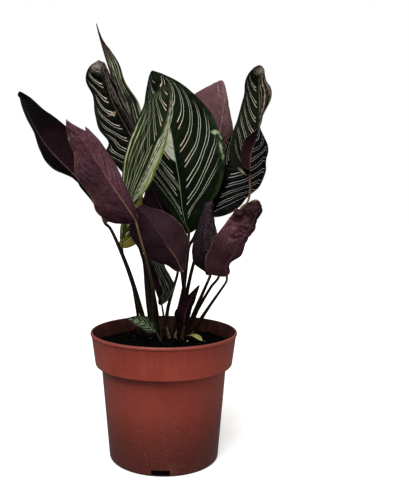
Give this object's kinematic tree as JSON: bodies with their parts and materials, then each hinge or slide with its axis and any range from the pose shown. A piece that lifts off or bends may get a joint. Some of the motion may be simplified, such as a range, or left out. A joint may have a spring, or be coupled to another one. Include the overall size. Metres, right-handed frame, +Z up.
{
  "type": "potted pinstripe calathea",
  "caption": "Prayer plant with striped green leaves, purple undersides and dark stems, in peat in a round tapered nursery pot with a deep collar.",
  "frame": {"origin": "centre of the pot's underside, on the surface that the pot stands on", "axes": "+Z up through the pot's axis, -Y towards the front of the pictured view, +X to its right"},
  "size_m": [0.202, 0.1429, 0.3691],
  "materials": {
    "pot_plastic": "satin",
    "peat": "rough",
    "leaf_green_side": "satin",
    "leaf_purple_side": "satin",
    "leaf_yellowing": "satin",
    "stem": "matte",
    "dry_sheath": "matte",
    "dry_leaf": "matte"
  },
  "bodies": {
    "root": {"pot": "pot_plastic", "soil": "peat", "leaf_far_left": "leaf_purple_side", "stem_far_left": "stem", "leaf_front_left": "leaf_purple_side", "stem_front_left": "stem", "leaf_rolled_tall": "leaf_green_side", "stem_rolled_tall": "stem", "leaf_back_left": "leaf_green_side", "stem_back_left": "stem", "leaf_folded_centre": "leaf_green_side", "stem_folded_centre": "stem", "leaf_large_centre": "leaf_green_side", "stem_large_centre": "stem", "leaf_back_right": "leaf_purple_side", "stem_back_right": "stem", "leaf_front_narrow": "leaf_purple_side", "stem_front_narrow": "stem", "leaf_upper_right": "leaf_green_side", "stem_upper_right": "stem", "leaf_right": "leaf_green_side", "stem_right": "stem", "leaf_front_right": "leaf_purple_side", "stem_front_right": "stem", "leaf_front_centre": "leaf_purple_side", "stem_front_centre": "stem", "leaf_over_rim": "leaf_green_side", "stem_over_rim": "stem", "leaf_half_rolled": "leaf_green_side", "stem_half_rolled": "stem", "leaf_young_spear": "leaf_purple_side", "stem_young_spear": "stem", "leaf_yellowing": "leaf_yellowing", "stem_yellowing": "stem", "leaf_hidden_centre": "leaf_purple_side", "stem_hidden_centre": "stem", "old_sheath_1": "dry_sheath", "old_sheath_2": "dry_sheath", "old_sheath_3": "dry_sheath", "dried_leaf_scrap": "dry_leaf"}
  },
  "joints": []
}
